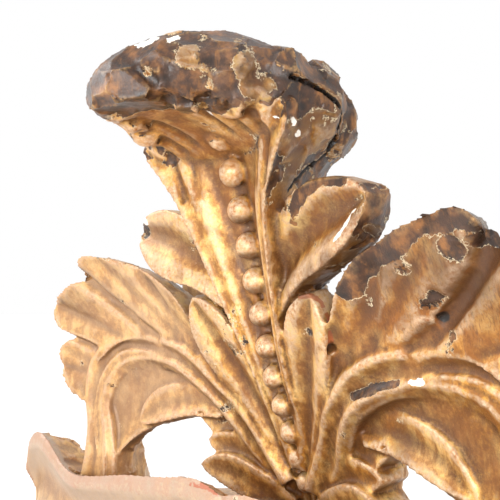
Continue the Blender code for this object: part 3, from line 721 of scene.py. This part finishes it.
def write_points(mesh, points):
    """Moves a mesh's vertices to the given points."""
    mesh.vertices.foreach_set("co", points.astype(np.float32).ravel())
    mesh.update()


def applied(piece):
    """Gives a piece the mesh that its modifiers make, and takes the modifiers off."""
    graph = bpy.context.evaluated_depsgraph_get()
    made = bpy.data.meshes.new_from_object(piece.evaluated_get(graph))
    piece.modifiers.clear()
    piece.data = made
    return made


def planed(mesh):
    """Cuts off what lies behind the back plane or under the origin and closes each cut with a flat face."""
    form = bmesh.new()
    form.from_mesh(mesh)
    for place, outward in (((0, BACK_PLANE, 0), (0, 1, 0)), ((0, 0, 0), (0, 0, -1))):
        everything = form.verts[:] + form.edges[:] + form.faces[:]
        cut = bmesh.ops.bisect_plane(
            form, geom=everything, plane_co=place, plane_no=outward, clear_outer=True
        )
        rim = [part for part in cut["geom_cut"] if isinstance(part, bmesh.types.BMEdge)]
        bmesh.ops.triangle_fill(form, use_beauty=True, edges=rim, normal=outward)
    form.to_mesh(mesh)
    form.free()
    mesh.update()


def on_tip(points, normals):
    """1 on the rolled tip, above a line that falls to the back, and on the front of its underside."""
    back = np.clip((points[:, 1] - TIP_FALL_START) / TIP_FALL_LENGTH, 0, 1)
    above = smooth_step(*TIP_HEIGHTS, points[:, 2] + TIP_FALL * back)
    above = above * smooth_step(*TIP_DOWNWARD, -normals[:, 2])
    lip = np.clip(points[:, 0] - LIP_MIDDLE, *LIP_RANGE)
    return np.maximum(above, smooth_step(LIP_BLEND, -LIP_BLEND, points[:, 1] - lip))


def outer_side(points, normals):
    """1 on what faces backwards above the rail, and on the upper lobes' sides that face outwards."""
    back = smooth_step(0.0, 0.5, normals[:, 1]) * smooth_step(*BACKS_ABOVE, points[:, 2])
    away = smooth_step(*TURNED_OUT, normals[:, 0] * np.sign(points[:, 0]))
    away = away * smooth_step(*OFF_PEARLS, abs(points[:, 0])) * smooth_step(*LOBES_ABOVE, points[:, 2])
    return np.maximum(back, away)


def finish_left(points, normals):
    """How whole the gold is, from 0 to 1: nearly lost on the tip, the backs and the outsides."""
    tip = on_tip(points, normals)
    lost = np.maximum(TIP_LOSS * tip, OUTSIDE_LOSS * outer_side(points, normals))
    lost = lost - GOLD_SPARED * near_spots(points, GOLD_LEFT)
    lost = np.maximum(lost, SPOT_LOSS * near_spots(points, BARE_SPOTS))
    lost = np.maximum(lost, RIM_LOSS * near_rims(points, BARE_RIMS))
    return 1 - np.clip(lost, LEAST_LOSS, 1)


def finish_lost(points, normals):
    """Above 0 where the finish has come off: its loss against layered noise, which makes ragged borders."""
    noise = 0.5 + FLAKE_CONTRAST * (layered_noise(points, FLAKE, 21, 4) - 0.5)
    return 1 - finish_left(points, normals) - noise


def creased(points, normals):
    """The tip's creases and the fans' valleys, sunk by a gaussian across each line, and drilled eyes."""
    sink = np.zeros(len(points))
    for line, width, depth in TIP_CREASES + FLUTES_UNDER_TIP + FAN_VALLEYS_CUT:
        away = away_from_line(points, drawn(line)) / (width * UNIT)
        sink = np.maximum(sink, depth * UNIT * np.exp(-(away**2)))
    for x, y, z, radius in EYES:
        away = np.linalg.norm(points - drawn((x, y, z)), axis=1) / (radius * UNIT)
        sink = np.maximum(sink, EYE_DEPTH * UNIT * np.exp(-(away**4)))
    return points - normals * sink[:, None]


def gouged(points, normals):
    """The carver's cuts: each cell is drawn towards its own plane and hollowed between low ridges."""
    owner, gap = cells(points * GOUGE_STRETCH, GOUGE, seed=11)
    count = owner.max() + 1
    size = np.bincount(owner, minlength=count)
    middle = np.stack([np.bincount(owner, points[:, k], count) for k in range(3)], 1) / size[:, None]
    facing = unit_rows(np.stack([np.bincount(owner, normals[:, k], count) for k in range(3)], 1))
    away = ((points - middle[owner]) * facing[owner]).sum(1)
    agree = (normals * facing[owner]).sum(1)
    rough = np.maximum(on_tip(points, normals), smooth_step(*ROUGH_BACKS, normals[:, 1]))
    rough = np.maximum(rough, 0.8 * near_spots(points, BARE_SPOTS))
    amount = rough * smooth_step(*SAME_FACING, agree)
    move = np.clip(-away, -PLANED_MOST, PLANED_MOST) * amount * PLANED
    hollow = GOUGE_DEPTH * rough * (1 - (1 - np.clip(gap / GOUGE_RIM, 0, 1)) ** 2)
    points = points + facing[owner] * move[:, None] - normals * hollow[:, None]
    gap = cells(points * RIPPLE_STRETCH, RIPPLE, seed=5)[1]
    hollow = RIPPLE_DEPTH * (1 - rough) * (1 - (1 - np.clip(gap / RIPPLE_RIM, 0, 1)) ** 2)
    return points - normals * hollow[:, None]


def placed(name, data):
    """A new object in the scene."""
    made = bpy.data.objects.new(name, data)
    bpy.context.collection.objects.link(made)
    return made


def carve():
    """The fused, planed, smoothed, cut, chipped and thinned mesh of the whole carving."""
    sides = side_forms() + [blade(PIT_BACK)]
    forms = middle_forms() + sides + [mirrored(form) for form in sides]
    piece = placed("gilded_carving", joined_mesh(forms, "gilded_carving"))
    fuse = piece.modifiers.new("fuse", "REMESH")
    fuse.mode = "VOXEL"
    fuse.voxel_size = WEB
    mesh = applied(piece)
    points, normals, edges = read_mesh(mesh)
    for share in SMOOTHING:
        points += share * (neighbour_mean(points, edges, len(points)) - points)
    write_points(mesh, points)
    planed(mesh)
    points, normals, edges = read_mesh(mesh)
    start = points
    write_points(mesh, creased(points, normals))
    points, normals, edges = read_mesh(mesh)
    write_points(mesh, gouged(points, normals))
    points, normals, edges = read_mesh(mesh)
    move = (layered_noise(points, UNEVEN, 3) - 0.5) * UNEVEN_DEPTH
    move -= GESSO_THICK * smooth_step(-FLAKE_EDGE, FLAKE_EDGE, finish_lost(points, normals))
    move -= CRACK_DEPTH * joint_nearness(points, normals, CRACK_WIDTH)
    points = points + normals * move[:, None]
    inside = np.minimum(start[:, 2], BACK_PLANE - start[:, 1])
    held = smooth_step(0, HELD_RIM, inside)[:, None]
    write_points(mesh, start + held * (points - start))
    thin = piece.modifiers.new("thin", "DECIMATE")
    thin.ratio = min(1.0, MOST_TRIANGLES / (2 * len(mesh.polygons)))
    mesh = applied(piece)
    mesh.polygons.foreach_set("use_smooth", np.ones(len(mesh.polygons), bool))
    mesh.set_sharp_from_angle(angle=CREASE)
    return piece


def mark(mesh, name, values):
    """Keeps one number from 0 to 1 for each point of the mesh."""
    layer = mesh.attributes.new(name, "FLOAT", "POINT")
    layer.data.foreach_set("value", np.clip(values, 0, 1).astype(np.float32))


def mark_wear(mesh):
    """Works out from the shape where the finish is rubbed, dirty or lost, and where shade is painted.

    relief is how far a point stands out of the broadly smoothed surface, edge is how sharply it stands out
    of its near neighbours, lost is where the finish is off, the right leaf's browner glaze is partly painted
    shade on the side turned from the lamps, the dark brown mark is grime with painted shade under the leaves,
    on walls in shadow and on the plume's right side, the joint's mark also paints shade into the drilled
    eyes, and the others follow the damage."""
    points, normals, edges = read_mesh(mesh)
    count = len(points)
    broad = points.copy()
    for k in range(BROAD_PASSES):
        broad += 0.9 * (neighbour_mean(broad, edges, count) - broad)
    fine = points.copy()
    for k in range(FINE_PASSES):
        fine += 0.8 * (neighbour_mean(fine, edges, count) - fine)
    edge = ((points - fine) * normals).sum(1)
    edge = 0.5 * edge + 0.5 * neighbour_mean(edge, edges, count)
    mark(mesh, "relief", 0.5 + ((points - broad) * normals).sum(1) / RELIEF_SPAN)
    mark(mesh, "edge", 0.5 + edge / EDGE_SPAN)
    mark(mesh, "lost", 0.5 + finish_lost(points, normals))
    mark(mesh, "gesso", np.maximum(near_spots(points, GESSO_SPOTS), near_rims(points, GESSO_RIMS)))
    mark(mesh, "clay", near_rims(points, CLAY_RIMS))
    x, y, z = points.T
    # The right leaf's browner glaze, partly painted shade on the side turned from the lamps.
    mark(mesh, "warm_glaze_and_shade", smooth_step(*WARM_ACROSS, x) * smooth_step(*WARM_ABOVE, z))
    mark(mesh, "dusty", smooth_step(*DUSTY_ACROSS, x))
    mark(mesh, "band", smooth_step(*BAND_BELOW, z) * smooth_step(*BAND_FORWARD, y))
    # Painted shade under the downward faces below the tip, joined to the grime on the backs and outer sides
    # and at the listed spots.
    under = smooth_step(*UNDERSIDE_SHADE, -normals[:, 2]) * smooth_step(*UNDER_TIP, z)
    grime_and_shade = np.maximum(outer_side(points, normals), under)
    grime_and_shade = np.maximum(grime_and_shade, 0.8 * near_spots(points, GRIME_AND_SHADE_SPOTS))
    # Painted shade on the plume's right-facing side, away from the lamps.
    cheek = smooth_step(*CHEEK_FACING, normals[:, 0]) * smooth_step(*CHEEK_ABOVE, z)
    mark(mesh, "grime_and_shade", np.maximum(grime_and_shade, 0.6 * cheek * smooth_step(*CHEEK_ACROSS, x)))
    # The drilled eyes get the joint's dark mark: painted shade in the holes.
    eyes = near_spots(points, EYES)
    mark(mesh, "joint_and_eye_shade", np.maximum(joint_nearness(points, normals, CRACK_SHADE * CRACK_WIDTH), eyes))


def colour(code):
    """An sRGB hex colour turned linear."""
    value = np.array([int(code[k:k + 2], 16) for k in (1, 3, 5)]) / 255
    linear = np.where(value <= 0.04045, value / 12.92, ((value + 0.055) / 1.055) ** 2.4)
    return (*linear, 1.0)


def add(tree, kind, inputs=None, out=0, stops=(), **settings):
    """Adds a node with its settings, links or sets each input, and gives one output."""
    node = tree.nodes.new("ShaderNode" + kind)
    for name, value in settings.items():
        setattr(node, name, value)
    for socket, value in (inputs or {}).items():
        if isinstance(value, bpy.types.NodeSocket):
            tree.links.new(value, node.inputs[socket])
        else:
            node.inputs[socket].default_value = value
    for k, (place, code) in enumerate(stops):
        stop = node.color_ramp.elements[k] if k < 2 else node.color_ramp.elements.new(place)
        stop.position = place
        stop.color = colour(code)
    return node.outputs[out]


def gilding():
    """Worn water gilding: gold leaf on red clay over white gesso on carved wood.

    The eye gets a soft, dusty gold with broad glints and painted highlights on the burnished rims, brown
    patina and painted shade in the hollows and creases, painted shade under the leaves and on the sides
    turned from the lamps, red clay and white gesso at rubbed edges and chips, painted shade in the drilled
    eyes, and dark, greasy wood with gouge marks, painted highlights on its ridges and painted shade in its
    creases where all of it is gone."""
    material = bpy.data.materials.new("worn_water_gilding")
    material.use_nodes = True
    tree = material.node_tree
    shader = tree.nodes["Principled BSDF"]
    place = add(tree, "TexCoord", out="Object")
    known = {name: add(tree, "Attribute", out="Fac", attribute_name=name) for name in MARKS}
    for name, (size, detail, rough, stretch) in PATTERNS.items():
        at = add(tree, "Mapping", {"Vector": place, "Scale": stretch})
        scale = 1 / (size * MILLIMETRE)
        known[name] = add(tree, "TexNoise",
                          {"Vector": at, "Scale": scale, "Detail": detail, "Roughness": rough})
    for kind, name, *terms in AMOUNTS:
        inputs = {k: known.get(term, term) for k, term in enumerate(terms)}
        if kind == "RANGE":
            known[name] = add(tree, "MapRange", inputs)
        elif kind == "PART":
            within = add(tree, "MapRange", {k - 1: value for k, value in inputs.items() if k > 0})
            known[name] = add(tree, "Math", {0: inputs[0], 1: within}, operation="MULTIPLY")
        else:
            known[name] = add(tree, "Math", inputs, operation=kind)
    coats = []
    for stops, layers in ((GOLD_STOPS, GOLD_LAYERS), (WOOD_STOPS, WOOD_LAYERS)):
        coat = add(tree, "ValToRGB", {"Fac": known["mottle"]}, stops=stops)
        for amount, code in layers:
            coat = add(tree, "Mix", {0: known[amount], 6: coat, 7: colour(code)}, out=2, data_type="RGBA")
        coats.append(coat)
    base = add(tree, "Mix", {0: known["stripped"], 6: coats[0], 7: coats[1]}, out=2, data_type="RGBA")
    for amount, code in DAMAGE_LAYERS:
        base = add(tree, "Mix", {0: known[amount], 6: base, 7: colour(code)}, out=2, data_type="RGBA")
    tree.links.new(base, shader.inputs["Base Color"])
    tree.links.new(known["metal"], shader.inputs["Metallic"])
    gloss = add(tree, "Mix", {0: known["bare"], 2: known["leaf_gloss"], 3: known["wood_gloss"]})
    gloss = add(tree, "Mix", {0: known["chip"], 2: gloss, 3: GESSO_ROUGHNESS})
    tree.links.new(gloss, shader.inputs["Roughness"])
    bump = add(tree, "Bump",
               {"Height": known["height"], "Distance": MILLIMETRE, "Strength": BUMP_STRENGTH})
    tree.links.new(bump, shader.inputs["Normal"])
    return material


def plain(name, code, roughness):
    """A matt paint for the floor."""
    material = bpy.data.materials.new(name)
    material.use_nodes = True
    shader = material.node_tree.nodes["Principled BSDF"]
    shader.inputs["Base Color"].default_value = colour(code)
    shader.inputs["Roughness"].default_value = roughness
    return material


def studio():
    """A pale floor, white surroundings, a soft sun from the upper left and two windows."""
    mesh = bpy.data.meshes.new("floor")
    corners = [(-FLOOR, -FLOOR, 0), (FLOOR, -FLOOR, 0), (FLOOR, FLOOR, 0), (-FLOOR, FLOOR, 0)]
    mesh.from_pydata(corners, [], [(0, 1, 2, 3)])
    floor = placed("floor", mesh)
    mesh.materials.append(plain("matt_white_floor", "#FBFAF8", 0.9))
    world = bpy.data.worlds.new("studio")
    bpy.context.scene.world = world
    world.use_nodes = True
    tree = world.node_tree
    back = tree.nodes["Background"]
    back.inputs["Color"].default_value = colour("#FFFFFF")
    seen = add(tree, "LightPath", out="Is Camera Ray")
    strength = add(tree, "MapRange", {"Value": seen, "To Min": SKY_LIGHT, "To Max": SKY_SEEN})
    tree.links.new(strength, back.inputs["Strength"])
    for name, kind, place, size, power in LAMPS:
        lamp = placed(name, bpy.data.lights.new(name, kind))
        lamp.data.energy = power
        if kind == "SUN":
            lamp.data.angle = size
        else:
            lamp.data.size = size
        lamp.location = place
        lamp.rotation_mode = "QUATERNION"
        lamp.rotation_quaternion = (Vector(LAMP_AIM) - Vector(place)).to_track_quat("-Z", "Y")


def camera():
    """The photograph's viewing angle: from the right and a little below the middle, looking slightly up."""
    turn, pitch = np.radians(CAMERA_TURN), np.radians(CAMERA_PITCH)
    ahead = Vector((-np.sin(turn) * np.cos(pitch), np.cos(turn) * np.cos(pitch), np.sin(pitch)))
    eye = placed("camera", bpy.data.cameras.new("camera"))
    eye.location = CAMERA_PLACE
    eye.rotation_mode = "QUATERNION"
    eye.rotation_quaternion = ahead.to_track_quat("-Z", "Y")
    eye.data.lens = CAMERA_LENS
    eye.data.clip_start = 0.01
    bpy.context.scene.camera = eye


camera()
studio()
carving = carve()
mark_wear(carving.data)
carving.data.materials.clear()
carving.data.materials.append(gilding())
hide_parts("carved_pediment")
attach(carving, "root")
bpy.context.scene.view_settings.view_transform = "Standard"
